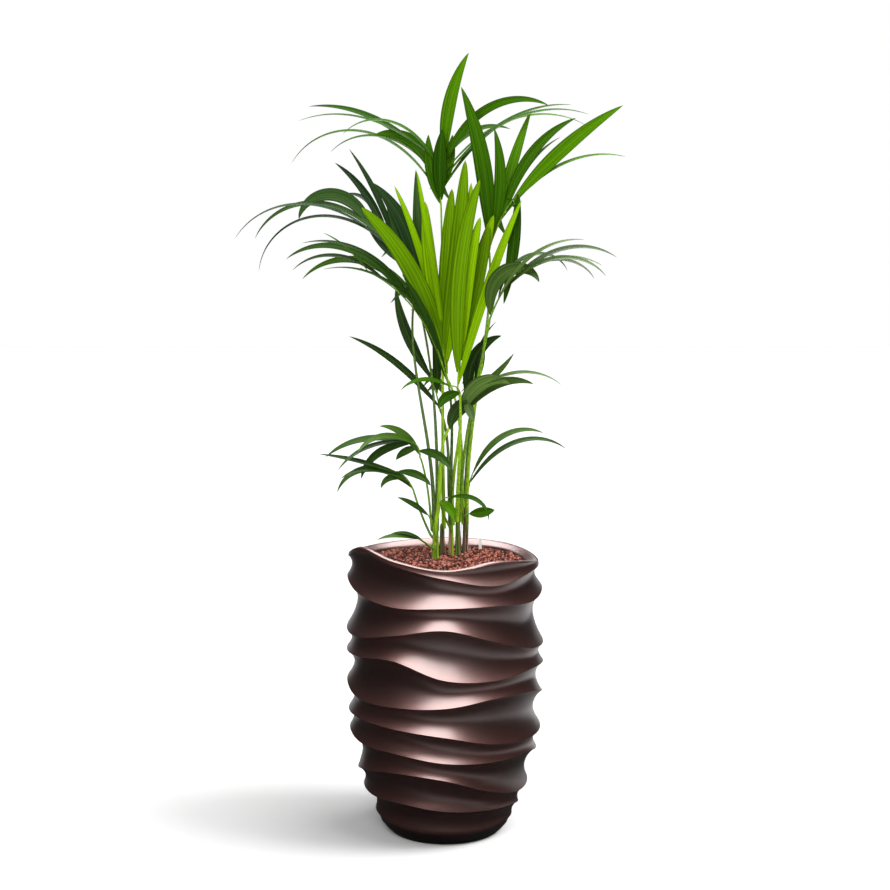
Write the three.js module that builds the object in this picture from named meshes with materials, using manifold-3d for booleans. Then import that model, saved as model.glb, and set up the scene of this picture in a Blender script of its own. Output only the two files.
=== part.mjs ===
// A potted kentia palm: a clump of young plants that share one tall round planter.
// Millimetres, +Z up. The origin is the centre of the planter's underside, and -Y is the front.
//
// The planter is a vase whose wall is thrown into horizontal folds, filled with clay granules to
// just under its rim. Six short stems stand on the granules. Each carries leaf stalks, and every
// stalk ends in a frond: a thin midrib with narrow leaflets on both sides.
import * as THREE from "three";
import { mergeVertices } from "three/addons/utils/BufferGeometryUtils.js";
import Module from "manifold-3d";

const wasm = await Module();
wasm.setup();

// ---------------------------------------------------------------- driving dimensions

const CLEARANCE = 0.3; // between pieces that meet

const PLANTER = {
  columns: 32, // facets round the pot
  stepsPerFold: 3,
  foldDepth: 22, // deepest fold, reached where two crests lie far apart
  foldFrom: 6, // crests closer than this run into one, with no fold between them
  foldSpan: 50, // how much wider two crests lie for a fold to be about half as deep
  deepest: 0.45, // where a fold is deepest, from its upper crest (0) to its lower one (1)
  lipWidth: 22,
  lipDrop: 7, // the lip slopes down towards the inside
  footRadius: 113,
  sway: -4, // the rim lies a little to the left of the foot
  swayFrom: 490, // height above which it does
};

// Radius of the folds' crests at a height: [height, radius].
const CREST_RADIUS = [
  [0, 118],
  [40, 141],
  [90, 164],
  [140, 179],
  [210, 192],
  [310, 197],
  [420, 197],
  [520, 193],
  [600, 184],
];

// Inside of the planter, from its floor up: [height, radius].
const INSIDE = [
  [25, 96],
  [60, 118],
  [110, 138],
  [200, 155],
  [520, 158],
];

// The crests' heights at ten places round the pot, in degrees from the front towards +X.
const STATIONS = [-90, -60, -30, 0, 30, 60, 90, 135, 180, 225];
const CRESTS = [
  [560, 585, 569, 556, 567, 558, 546, 557, 559, 556], // the rim
  [554, 579, 561, 541, 524, 536, 540, 550, 553, 550],
  [517, 496, 483, 486, 486, 480, 493, 505, 498, 512],
  [413, 411, 429, 444, 417, 389, 384, 400, 430, 432],
  [369, 372, 380, 349, 343, 349, 343, 340, 365, 378],
  [307, 289, 290, 295, 308, 303, 281, 275, 292, 312],
  [247, 249, 247, 238, 218, 210, 211, 222, 238, 250],
  [209, 199, 198, 186, 181, 180, 166, 170, 190, 205],
  [127, 143, 157, 150, 119, 99, 99, 112, 130, 128],
  [91, 89, 92, 83, 77, 70, 55, 62, 78, 88],
  [39, 37, 32, 31, 30, 33, 30, 32, 34, 38],
];

const BED = { edge: 546, top: 552, flat: 110 }; // granules: heights at the wall and in the middle

const GAUGE = { x: 72, y: 74, width: 6, depth: 3, height: 25 }; // water level indicator

// Short stems, sheathed in the feet of the leaf stalks: where they stand and how tall they are.
const STEM = { flare: 1.15, sides: 8, ring: 3.4 };
const STEMS = {
  left: { at: [-19, -24], height: 66, radius: 6.6 },
  inner: { at: [-6, 34], height: 62, radius: 5.4 },
  front: { at: [12, 12], height: 72, radius: 5.4 },
  middle: { at: [26, 16], height: 78, radius: 5.4 },
  right: { at: [41, 48], height: 70, radius: 5.4 },
  far: { at: [42, 84], height: 60, radius: 5.4 },
};

const STALK = { footRadius: 2.6, tipRadius: 1.8, sides: 5, steps: 10, pulls: [0.4, 0.3], turn: 4 };
const RIB = { footRadius: 1.9, tipRadius: 1.1, sides: 5, steps: 5 };

const LEAFLET = {
  lateBend: 1.5, // above 1, a leaflet keeps its bend for its outer half
  leastBreadth: 12, // real breadth of a leaflet seen edge on
  thickness: 1 / 95, // share of its length
  fold: 0.12, // depth of its V, as a share of its breadth
  apart: 8, // least way between the leaflets of two fronds
  swings: [0, 6, -6, 12, -12, 18, -18, 24, -24, 30, -30], // degrees tried to keep apart
  weld: 0.02, // cuts closer together than this become one
  mostForward: 82, // and no leaflet points further to the front or back than this
};

// Leaflets on the far side of a frond, which point away to the back.
const BACK = {
  away: -62,
  reach: 110,
  heading: 12,
  bend: 30,
  droop: 2.6, // it rises, levels out and hangs
  breadth: 20,
  lowest: 0.45, // how far up the midrib the first of them sits
};

// The fronds. A curve is [heading, reach, bend]: the way it sets out, in degrees from straight
// up towards +X; how far it runs, seen from the front; and how much it turns on the way. stalk
// holds the headings with which the stalk leaves its stem and meets its frond.
// lean, toward and fan are degrees towards the front: of the midrib, of the leaflets, and how
// much the leaflets differ. A leaflet is [heading, reach, bend, breadth seen from the front].
const FRONDS = [
  {
    name: "top", stem: "inner", stands: 0, neck: [-8, 40, 1247],
    rib: [-5, 98, 22], stalk: [-1, -2],
    lean: 5, toward: 0, fan: 26, back: 3, tone: "mid",
    leaflets: [
      [-18, 136, 20, 25], [-4, 134, 14, 30], [-30, 391, -116, 7], [32, 312, 65, 8],
      [18, 112, -14, 24], [-15, 190, -92, 28], [38, 325, 74, 7], [-35, 268, -98, 7],
      [39, 327, 82, 6], [-24, 243, -114, 7], [-42, 319, -51, 13], [24, 261, 98, 18],
      [-48, 318, -60, 6], [33, 162, 79, 12], [2, 200, 30, 27],
    ],
  },
  {
    name: "right_high", stem: "right", stands: 20, neck: [86, -20, 1162],
    rib: [18, 122, 27], stalk: [-1, -5],
    lean: 25, toward: 8, fan: 18, back: 3, tone: "mid",
    leaflets: [
      [-3, 302, -20, 34], [11, 201, -28, 24], [13, 238, 9, 22], [36, 272, 70, 7],
      [17, 234, 51, 21], [21, 170, 40, 7], [42, 254, 20, 27], [184, 211, 8, 24],
    ],
  },
  {
    name: "young_left", stem: "right", stands: 200, neck: [4, 22, 909],
    rib: [-9, 104, 7], stalk: [-4, -26],
    lean: 10, toward: 10, fan: 8, back: 0, tone: "young",
    leaflets: [
      [-12, 369, -37, 33], [11, 357, -8, 20], [-10, 353, -15, 14], [8, 366, -4, 28],
      [-10, 277, 8, 26], [3, 286, 2, 26], [-9, 300, 0, 11],
    ],
  },
  {
    name: "young_right", stem: "front", stands: 0, neck: [25, -14, 890],
    rib: [2, 109, 15], stalk: [-5, -15],
    lean: 8, toward: 11, fan: 9, back: 0, tone: "young",
    leaflets: [
      [15, 373, 9, 17], [-3, 369, 23, 28], [10, 286, 7, 28], [2, 252, 14, 24], [12, 216, 0, 26],
    ],
  },
  {
    name: "left_high", stem: "left", stands: 150, neck: [-56, 70, 1092],
    rib: [-31, 156, -24], stalk: [1, 14],
    lean: -25, toward: -14, fan: 22, back: 3, tone: "blue",
    leaflets: [
      [-32, 436, -141, 7], [-17, 172, -1, 22], [-50, 132, 23, 15], [-18, 244, -18, 13],
      [-39, 363, -114, 12], [-20, 219, -35, 17], [-51, 342, -98, 6], [-2, 138, -103, 11],
      [-25, 211, -146, 28],
    ],
  },
  {
    name: "left_tall", stem: "left", stands: 30, neck: [-46, 50, 1026],
    rib: [-4, 44, 0], stalk: [1, -12],
    lean: 0, toward: 2, fan: 10, back: 2, tone: "blue",
    leaflets: [
      [-2, 290, -1, 27], [-5, 248, -44, 35],
    ],
  },
  {
    name: "left_mid", stem: "front", stands: 240, neck: [8, -28, 890],
    rib: [-14, 297, -55], stalk: [-1, -9],
    lean: 18, toward: 12, fan: 18, back: 2, tone: "dark",
    leaflets: [
      [-15, 223, -19, 18], [-18, 303, -86, 6], [-19, 338, -120, 17], [-26, 276, -79, 8],
      [-33, 269, -97, 14], [-47, 204, -88, 8], [-38, 107, -26, 4],
    ],
  },
  {
    name: "right_mid", stem: "middle", stands: -10, neck: [87, -60, 1027],
    rib: [20, 116, 36], stalk: [1, 10],
    lean: 22, toward: 16, fan: 18, back: 2, tone: "dull",
    leaflets: [
      [-10, 168, 172, 30], [24, 216, 72, 7], [13, 191, 143, 8], [42, 212, 102, 9],
      [45, 223, 80, 9], [58, 173, 63, 6], [62, 143, 90, 7],
    ],
  },
  {
    name: "back_left", stem: "front", stands: 90, neck: [-10, 80, 841],
    rib: [-13, 69, -8], stalk: [-6, -22],
    lean: -15, toward: -24, fan: 14, back: 4, tone: "dark",
    leaflets: [
      [-41, 239, -31, 15], [5, 96, -24, 18], [-34, 203, 29, 23],
    ],
  },
  {
    name: "centre_low", stem: "middle", stands: -120, neck: [29, -80, 882],
    rib: [-11, 29, -110], stalk: [1, -3],
    lean: 30, toward: 24, fan: 12, back: 0, tone: "mid",
    leaflets: [
      [-95, 54, -80, 20], [-63, 100, -74, 8],
    ],
  },
  {
    name: "right_low", stem: "left", stands: -90, neck: [31, -38, 834],
    rib: [7, 65, 51], stalk: [13, 61],
    lean: 30, toward: 22, fan: 18, back: 2, tone: "dull",
    leaflets: [
      [33, 165, 80, 21], [15, 124, 108, 30], [61, 84, -37, 4], [152, 40, 16, 18],
      [-133, 74, -50, 25], [55, 114, -23, 12], [53, 172, 77, 6],
    ],
  },
  {
    name: "back_right", stem: "far", stands: 120, neck: [57, 108, 837],
    rib: [-1, 77, 11], stalk: [1, 9],
    lean: -20, toward: -26, fan: 14, back: 4, tone: "dark",
    leaflets: [
      [-13, 178, 92, 30], [24, 106, -30, 10], [8, 119, 40, 5],
    ],
  },
  {
    name: "left_low", stem: "left", stands: -140, side: 58, neck: [-49, -40, 758],
    rib: [-4, 48, -98], stalk: [-4, -18],
    lean: 20, toward: 14, fan: 24, back: 0, tone: "deep",
    leaflets: [
      [-28, 102, -64, 15], [90, 76, 76, 18], [-101, 51, -49, 15], [-57, 127, -99, 12],
      [-94, 132, -77, 17], [-80, 174, -53, 12], [-88, 140, -56, 8],
    ],
  },
  {
    name: "left_lowest", stem: "left", stands: 180, side: 46, neck: [-63, -30, 691],
    rib: [-24, 50, -37], stalk: [-26, -17],
    lean: 22, toward: 20, fan: 18, back: 0, tone: "deep",
    leaflets: [
      [-45, 176, -119, 14], [-53, 140, -72, 10], [-72, 60, -98, 13], [-66, 162, -13, 8],
      [88, 71, 60, 16],
    ],
  },
  {
    name: "right_side", stem: "far", stands: -60, neck: [49, 70, 689],
    rib: [19, 25, 0], stalk: [-1, 17],
    lean: -10, toward: -12, fan: 10, back: 0, tone: "deep",
    leaflets: [
      [35, 238, 94, 10], [26, 184, 89, 12],
    ],
  },
  {
    name: "front_small", stem: "front", stands: -90, side: 52, neck: [-8, -40, 667],
    rib: [28, 20, 82], stalk: [-23, 0],
    lean: 20, toward: 26, fan: 12, back: 0, tone: "mid",
    leaflets: [
      [119, 44, 73, 20], [73, 99, 107, 8],
    ],
  },
  {
    name: "leaf_left", stem: "left", stands: -80, side: 40, neck: [-28, -40, 633],
    rib: [-30, 10, 0], stalk: [-19, -16],
    lean: 10, toward: 12, fan: 0, back: 0, tone: "deep",
    leaflets: [
      [-50, 71, -20, 10],
    ],
  },
  {
    name: "leaf_right", stem: "right", stands: -60, side: 44, neck: [42, 36, 630],
    rib: [70, 8, 0], stalk: [-6, -2],
    lean: 0, toward: -8, fan: 0, back: 0, tone: "mid",
    leaflets: [
      [84, 51, -4, 22],
    ],
  },
  {
    name: "leaf_rim", stem: "left", stands: -130, side: 22, neck: [-41, -50, 589],
    rib: [-56, 12, 0], stalk: [-61, -40],
    lean: 20, toward: 16, fan: 10, back: 0, tone: "deep",
    leaflets: [
      [-54, 72, -54, 5], [-72, 82, -38, 7],
    ],
  },
];

// ---------------------------------------------------------------- small tools

const rad = THREE.MathUtils.degToRad;
const UP = new THREE.Vector3(0, 0, 1);
const FRONT = new THREE.Vector3(0, -1, 0);

// A closed body from rings of points that follow one another, each with the same number of
// points. A first or last ring of one point closes that end in a point, else it gets a flat cap.
// In a blade the two faces on either side of an edge are split the same way, so that a turn in
// the blade can't bring its upper face through its lower one.
function skin(rings, isBlade = false) {
  const points = rings.flat();
  const starts = [];
  rings.reduce((at, ring) => (starts.push(at), at + ring.length), 0);
  const faces = [];
  for (let i = 0; i + 1 < rings.length; i++) {
    const [a, b] = [rings[i].length, rings[i + 1].length];
    const [p, q] = [starts[i], starts[i + 1]];
    for (let k = 0; k < Math.max(a, b); k++) {
      const next = (k + 1) % Math.max(a, b);
      if (isBlade && b > 1 && k % 2) {
        faces.push(p + k, p + next, q + k, p + next, q + next, q + k);
        continue;
      }
      if (a > 1) faces.push(p + k, p + next, q + (b > 1 ? next : 0));
      if (b > 1) faces.push(p + (a > 1 ? k : 0), q + next, q + k);
    }
  }
  const cap = (ring, start, flip) => {
    for (let k = 1; k + 1 < ring.length; k++)
      faces.push(start, start + (flip ? k + 1 : k), start + (flip ? k : k + 1));
  };
  cap(rings[0], starts[0], true);
  cap(rings[rings.length - 1], starts[rings.length - 1], false);
  const geometry = new THREE.BufferGeometry();
  const flat = points.flatMap((v) => [v.x, v.y, v.z]);
  geometry.setAttribute("position", new THREE.Float32BufferAttribute(flat, 3));
  geometry.setIndex(faces);
  return geometry;
}

function toSolid(geometry) {
  const bare = geometry.clone();
  for (const name of Object.keys(bare.attributes)) {
    if (name !== "position") bare.deleteAttribute(name);
  }
  const merged = mergeVertices(bare, 1e-4);
  return new wasm.Manifold(
    new wasm.Mesh({
      numProp: 3,
      vertProperties: new Float32Array(merged.attributes.position.array),
      triVerts: new Uint32Array(merged.index.array),
    }),
  );
}

function toGeometry(solid) {
  const mesh = solid.getMesh();
  const geometry = new THREE.BufferGeometry();
  geometry.setAttribute("position", new THREE.BufferAttribute(mesh.vertProperties, 3));
  geometry.setIndex(new THREE.BufferAttribute(mesh.triVerts, 1));
  return geometry;
}

// Straight between the rows of a [height, value] list.
function between(rows, height) {
  const above = rows.findIndex((row) => row[0] >= height);
  if (above === 0) return rows[0][1];
  if (above < 0) return rows[rows.length - 1][1];
  const [low, high] = [rows[above - 1], rows[above]];
  return THREE.MathUtils.mapLinear(height, low[0], high[0], low[1], high[1]);
}

// Smooth and closed round the pot, through one value at each station.
function around(values, degrees) {
  const count = STATIONS.length;
  const station = (i) => STATIONS[((i % count) + count) % count] + 360 * Math.floor(i / count);
  const value = (i) => values[((i % count) + count) % count];
  const slope = (i) => (value(i + 1) - value(i - 1)) / (station(i + 1) - station(i - 1));
  const turned = STATIONS[0] + ((((degrees - STATIONS[0]) % 360) + 360) % 360);
  let i = 0;
  while (station(i + 1) <= turned) i++;
  const span = station(i + 1) - station(i);
  const t = (turned - station(i)) / span;
  const h = [2 * t ** 3 - 3 * t ** 2 + 1, t ** 3 - 2 * t ** 2 + t, t ** 3 - t ** 2];
  return h[0] * value(i) + (1 - h[0]) * value(i + 1) + span * (h[1] * slope(i) + h[2] * slope(i + 1));
}

// ---------------------------------------------------------------- planter and what fills it

// How far a fold is pressed in, from 0 to 1, at a share of the way from its upper crest down:
// a quick undercut below the upper crest, then a long sweep out to the lower one.
function pressedIn(share) {
  const { deepest } = PLANTER;
  if (share < deepest) return Math.sin(((Math.PI / 2) * share ** 0.75) / deepest ** 0.75);
  return 1 - ((share - deepest) / (1 - deepest)) ** 1.7;
}

// The wall's section at an angle, from the foot up the outside, over the lip and down inside.
function wallSection(degrees) {
  const crests = CRESTS.map((heights) => around(heights, degrees));
  const section = [[PLANTER.footRadius - 3, 0], [PLANTER.footRadius + 2, 3]];
  const lowest = crests[crests.length - 1];
  section.push([THREE.MathUtils.lerp(PLANTER.footRadius, between(CREST_RADIUS, lowest), 0.62), lowest / 2]);
  for (let fold = crests.length - 1; fold > 0; fold--) {
    const [high, low] = [crests[fold - 1], crests[fold]];
    const spacing = high - low;
    const opened = Math.max(spacing - PLANTER.foldFrom, 0) / PLANTER.foldSpan;
    const depth = PLANTER.foldDepth * (1 - Math.exp(-(opened ** 1.4)));
    for (let step = PLANTER.stepsPerFold; step > 0; step--) {
      const share = step / PLANTER.stepsPerFold;
      const height = high - spacing * share;
      section.push([between(CREST_RADIUS, height) - depth * pressedIn(share), height]);
    }
  }
  const [rim, rimRadius] = [crests[0], between(CREST_RADIUS, crests[0])];
  section.push([rimRadius - 2, rim]);
  section.push([rimRadius - 7, rim + 2]);
  section.push([rimRadius - PLANTER.lipWidth, rim - PLANTER.lipDrop]);
  for (const point of section) {
    const share = THREE.MathUtils.smoothstep(point[1], PLANTER.swayFrom, BED.edge);
    point[0] += PLANTER.sway * Math.sin(rad(degrees)) * share;
  }
  for (const [height, radius] of [...INSIDE].reverse()) section.push([radius, height]);
  return section;
}

function buildPlanter() {
  const columns = [];
  for (let i = 0; i < PLANTER.columns; i++) {
    const degrees = (360 * i) / PLANTER.columns;
    columns.push(wallSection(degrees).map(([radius, height]) => polar(radius, degrees, height)));
  }
  const rows = columns[0].map((_, row) => columns.map((column) => column[row]));
  return skin(rows);
}

// The place at a radius and an angle from the front, turning towards +X.
function polar(radius, degrees, height) {
  return new THREE.Vector3(radius * Math.sin(rad(degrees)), -radius * Math.cos(rad(degrees)), height);
}

function buildBed() {
  const rings = INSIDE.map(([height, radius]) => [radius - CLEARANCE, height + CLEARANCE]);
  rings.push([between(INSIDE, BED.edge) - CLEARANCE, BED.edge]);
  rings.push([BED.flat, BED.top]);
  return skin(
    rings.map(([radius, height]) =>
      Array.from({ length: PLANTER.columns }, (_, i) =>
        polar(radius, (360 * i) / PLANTER.columns, height),
      ),
    ),
  );
}

function buildGauge() {
  const half = GAUGE.width / 2;
  const outline = new THREE.Shape();
  outline.moveTo(-half, 0);
  outline.lineTo(half, 0);
  outline.lineTo(half, GAUGE.height - half);
  outline.absarc(0, GAUGE.height - half, half, 0, Math.PI, false);
  const plate = new THREE.ExtrudeGeometry(outline, {
    depth: GAUGE.depth,
    bevelEnabled: false,
    curveSegments: 6,
  });
  return plate.rotateX(Math.PI / 2);
}

// ---------------------------------------------------------------- stems and stalks

const vector = (numbers) => new THREE.Vector3(...numbers);

// The way a curve sets out: a heading seen from the front, leaning so far towards the front.
function direction(heading, forward) {
  const [turn, lean] = [rad(heading), rad(forward)];
  return new THREE.Vector3(
    Math.sin(turn) * Math.cos(lean),
    -Math.sin(lean),
    Math.cos(turn) * Math.cos(lean),
  );
}

// The fine points of a curve given by heading, reach and bend.
const FINE_STEPS = 24;
function course(start, [heading, reach, bend, , , droop = 0], forward) {
  const points = [start.clone()];
  for (let i = 0; i < FINE_STEPS; i++) {
    const share = (i + 0.5) / FINE_STEPS;
    const angle = rad(heading + bend * share ** LEAFLET.lateBend);
    const rise = 1 - droop * share;
    const step = new THREE.Vector3(
      Math.sin(angle) * rise,
      -Math.tan(rad(forward)),
      Math.cos(angle) * rise,
    );
    points.push(points[i].clone().addScaledVector(step, reach / FINE_STEPS));
  }
  return points;
}

const lengthOf = (points) =>
  points.slice(1).reduce((sum, point, i) => sum + point.distanceTo(points[i]), 0);

// At one point of a curve: along it, towards the front or another side, and across both.
function axes(points, i, side = FRONT) {
  const along = points[Math.min(i + 1, points.length - 1)].clone();
  along.sub(points[Math.max(i - 1, 0)]).normalize();
  const facing = side.clone().addScaledVector(along, -along.dot(side)).normalize();
  return { along, facing, across: along.clone().cross(facing) };
}

// A round tapering limb through points.
function limb(points, footRadius, tipRadius, sides) {
  return skin(
    points.map((point, i) => {
      const { facing, across } = axes(points, i);
      const radius = THREE.MathUtils.lerp(footRadius, tipRadius, i / (points.length - 1));
      return Array.from({ length: sides }, (_, k) => {
        const angle = (2 * Math.PI * k) / sides;
        return point
          .clone()
          .addScaledVector(facing, radius * Math.cos(angle))
          .addScaledVector(across, radius * Math.sin(angle));
      });
    }),
  );
}

const STEM_FOOT = BED.top + CLEARANCE;

// A stem's radius at a height above its foot, where it flares.
function stemReach({ height, radius }, z) {
  const swell = [[0, 1], [8, 0.4], [height / 2, 0.2], [height, 0]];
  return radius * THREE.MathUtils.lerp(1, STEM.flare, between(swell, z));
}

function buildStem(stem) {
  const rings = [0, 8, stem.height / 2, stem.height].map((z) =>
    Array.from({ length: STEM.sides }, (_, k) =>
      polar(stemReach(stem, z), (360 * k) / STEM.sides, STEM_FOOT + z).add(vector([...stem.at, 0])),
    ),
  );
  return skin(rings);
}

// Where a stalk sets out: from the stem's top, or from its side at a height above its foot.
function stalkFoot({ stem, stands, side, stalk }) {
  const { at, height } = STEMS[stem];
  const away = new THREE.Vector3(Math.cos(rad(stands)), Math.sin(rad(stands)), 0);
  const foot = vector([...at, STEM_FOOT + (side ?? height + CLEARANCE)]);
  if (!side) return foot.addScaledVector(away, STEM.ring);
  const flank = STALK.footRadius * Math.cos(rad(stalk[0])); // half the stalk's girth, level
  return foot.addScaledVector(away, stemReach(STEMS[stem], side) + flank + CLEARANCE / 2);
}

// A stalk bends from the way it leaves its stem to the way it meets its frond.
function stalkPoints(frond) {
  const foot = stalkFoot(frond);
  const neck = vector(frond.neck);
  const span = foot.distanceTo(neck);
  const lean = THREE.MathUtils.radToDeg(Math.asin((foot.y - neck.y) / span));
  const [out, into] = frond.stalk.map((heading) => direction(heading, lean));
  if (!frond.side) foot.z += STALK.footRadius * Math.hypot(out.x, out.y); // clear of the stem's top
  const curve = new THREE.CubicBezierCurve3(
    foot,
    foot.clone().addScaledVector(out, span * STALK.pulls[0]),
    neck.clone().addScaledVector(into, -span * STALK.pulls[1]),
    neck,
  );
  const points = curve.getPoints(span > 200 ? STALK.steps : STALK.steps / 2);
  points.splice(-1, 0, neck.clone().addScaledVector(direction(frond.rib[0], frond.lean), -STALK.turn));
  return points;
}

// ---------------------------------------------------------------- fronds

// A coarse grid of places that are taken, each with the frond that takes it.
const taken = new Map();
const cellOf = (point) => point.toArray().map((n) => Math.floor(n / LEAFLET.apart));

function occupy(points, owner) {
  for (const point of points) {
    const key = cellOf(point).join();
    if (!taken.has(key)) taken.set(key, []);
    taken.get(key).push({ point, owner });
  }
}

function crowded(points, owner) {
  const near = [-1, 0, 1];
  return points.some((point) => {
    const [x, y, z] = cellOf(point);
    return near.some((i) =>
      near.some((j) =>
        near.some((k) =>
          (taken.get([x + i, y + j, z + k].join()) ?? []).some(
            (other) => other.owner !== owner && other.point.distanceTo(point) < LEAFLET.apart,
          ),
        ),
      ),
    );
  });
}

// Breadth along a leaflet: narrow at its foot, widest near its middle, drawn out to a point.
const grownOutline = (s) => 1.31 * (1 - 0.86 * (1 - s) ** 3) * (1 - s ** 2.2) ** 0.8;
// A young leaflet stays broad nearly to its tip.
const youngOutline = (s) => 1.14 * (1 - 0.8 * (1 - s) ** 5) * (1 - s ** 4) ** 0.6;

// A leaflet's blade at one of its points: the midrib, the way across and the way its face looks.
function blade(points, i, [heading, , bend, breadth, isYoung, droop]) {
  const { along, facing, across } = axes(points, i, droop ? UP : FRONT);
  const real = Math.max(breadth, LEAFLET.leastBreadth + breadth / 4);
  const tilt = Math.acos(breadth / real);
  const upper = heading + bend / 2 < 0 ? 1 : -1;
  const face = facing.multiplyScalar(Math.cos(tilt)).addScaledVector(across, upper * Math.sin(tilt));
  const outline = isYoung ? youngOutline : grownOutline;
  return { face, side: along.cross(face), width: real * outline(i / FINE_STEPS) };
}

function leafletRings(points, leaflet) {
  const half = (lengthOf(points) * LEAFLET.thickness) / 2;
  const [, reach, , , , droop] = leaflet;
  const stride = droop ? 8 : reach > 240 ? 4 : 6;
  const rings = [];
  for (let i = 0; i < FINE_STEPS; i += stride) {
    const { face, side, width } = blade(points, i, leaflet);
    const edge = (sign) =>
      points[i]
        .clone()
        .addScaledVector(side, (sign * width) / 2)
        .addScaledVector(face, LEAFLET.fold * width);
    const rib = (sign) => points[i].clone().addScaledVector(face, sign * half);
    rings.push([rib(1), edge(1), rib(-1), edge(-1)]);
  }
  rings.push([points[FINE_STEPS]]);
  return rings;
}

// Points spread over a leaflet's blade, close enough together to find what it would touch.
function leafletSamples(points, leaflet) {
  const samples = [];
  for (let i = 1; i < FINE_STEPS; i++) {
    const { side, width } = blade(points, i, leaflet);
    const middle = points[i].clone().lerp(points[i + 1], 0.5);
    for (const share of [-0.45, -0.22, 0, 0.22, 0.45]) {
      samples.push(points[i].clone().addScaledVector(side, share * width));
      samples.push(middle.clone().addScaledVector(side, share * width));
    }
  }
  return samples;
}

// The leaflets of a frond from its foot to its tip, each with how far it leans to the front.
function leafletsOf(frond) {
  const shown = frond.leaflets.map((leaflet, i) => ({
    leaflet: [...leaflet, frond.tone === "young"],
    along: frond.leaflets.length > 1 ? 0.06 + (0.88 * i) / (frond.leaflets.length - 1) : 0.9,
    forward: frond.toward + frond.fan * Math.sin(2.4 * i),
  }));
  const hidden = Array.from({ length: frond.back }, (_, i) => {
    const turn = i % 2 ? 1 : -1;
    const open = BACK.heading * (1 + (i % 3) * 0.7);
    const reach = BACK.reach * (1 - 0.12 * (i % 3));
    return {
      leaflet: [turn * open, reach, turn * BACK.bend, BACK.breadth, false, BACK.droop],
      along: BACK.lowest + (0.5 * i) / frond.back,
      forward: BACK.away + 5 * (i % 3),
    };
  });
  return [...shown, ...hidden];
}

function alongRib(points, share) {
  const at = Math.min(share * (points.length - 1), points.length - 1.001);
  return points[Math.floor(at)].clone().lerp(points[Math.floor(at) + 1], at % 1);
}

function buildFrond(frond, rib) {
  const stride = Math.round(FINE_STEPS / RIB.steps / 2) * 2;
  const coarse = rib.filter((_, i) => i % stride === 0);
  let whole = toSolid(limb(coarse, RIB.footRadius, RIB.tipRadius, RIB.sides));
  for (const { leaflet, along, forward } of leafletsOf(frond)) {
    const foot = alongRib(rib, along);
    foot.x += (leaflet[0] < frond.rib[0] ? -0.4 : 0.4) * RIB.footRadius; // off the rib's flank
    for (const swing of LEAFLET.swings) {
      const most = LEAFLET.mostForward;
      const points = course(foot, leaflet, THREE.MathUtils.clamp(forward + swing, -most, most));
      const samples = leafletSamples(points, leaflet);
      if (crowded(samples, frond.name)) continue;
      occupy(samples, frond.name);
      whole = whole.add(toSolid(skin(leafletRings(points, leaflet), true)));
      break;
    }
  }
  // Blades that cross can seal a tiny hollow: only the outer body is kept.
  const outer = whole.decompose().reduce((a, b) => (a.volume() > b.volume() ? a : b));
  return toGeometry(outer.simplify(LEAFLET.weld));
}

// ---------------------------------------------------------------- the whole plant

const FINISH = {
  lacquer: { color: 0x3a2420, roughness: 0.35, metalness: 0.7 },
  granules: { color: 0x8a3b2c, roughness: 0.95, metalness: 0 },
  white: { color: 0xe8e4dc, roughness: 0.5, metalness: 0 },
  sheath: { color: 0x7d8a3a, roughness: 0.7, metalness: 0 },
  stalk: { color: 0x5d8f1e, roughness: 0.5, metalness: 0 },
  mid: { color: 0x2f6b14, roughness: 0.45, metalness: 0 },
  young: { color: 0x6fa800, roughness: 0.45, metalness: 0 },
  blue: { color: 0x2a4a35, roughness: 0.45, metalness: 0 },
  dark: { color: 0x1c3a14, roughness: 0.45, metalness: 0 },
  dull: { color: 0x4b6a3a, roughness: 0.5, metalness: 0 },
  deep: { color: 0x2b5a24, roughness: 0.45, metalness: 0 },
};

const palm = new THREE.Group();

function place(name, geometry, finish, position = [0, 0, 0]) {
  const mesh = new THREE.Mesh(geometry, new THREE.MeshStandardMaterial(FINISH[finish]));
  mesh.name = name;
  mesh.position.set(...position);
  palm.add(mesh);
}

place("planter", buildPlanter(), "lacquer");
place("granules", buildBed(), "granules");
place("water_gauge", buildGauge(), "white", [GAUGE.x, GAUGE.y, STEM_FOOT]);
for (const [name, stem] of Object.entries(STEMS)) place("stem_" + name, buildStem(stem), "sheath");

// All stalks and ribs take their places before the first leaflet does.
const limbs = FRONDS.map((frond) => {
  const stalk = stalkPoints(frond);
  const start = vector(frond.neck).addScaledVector(direction(frond.rib[0], frond.lean), CLEARANCE);
  const rib = course(start, frond.rib, frond.lean);
  for (let i = 0; i + 1 < stalk.length; i++) {
    const parts = Math.ceil(stalk[i].distanceTo(stalk[i + 1]) / 6);
    occupy(
      Array.from({ length: parts }, (_, k) => stalk[i].clone().lerp(stalk[i + 1], k / parts)),
      frond.name,
    );
  }
  occupy(rib, frond.name);
  return { frond, stalk, rib };
});

for (const { frond, stalk, rib } of limbs) {
  const tube = limb(stalk, STALK.footRadius, STALK.tipRadius, STALK.sides);
  place("stalk_" + frond.name, tube, "stalk");
  place("frond_" + frond.name, buildFrond(frond, rib), frond.tone);
}

export default palm;
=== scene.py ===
# A potted kentia palm: a clump of young plants that share one tall round planter. Metres, +Z up,
# the planter's underside is centred on the origin, and -Y is the front.
import math

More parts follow.
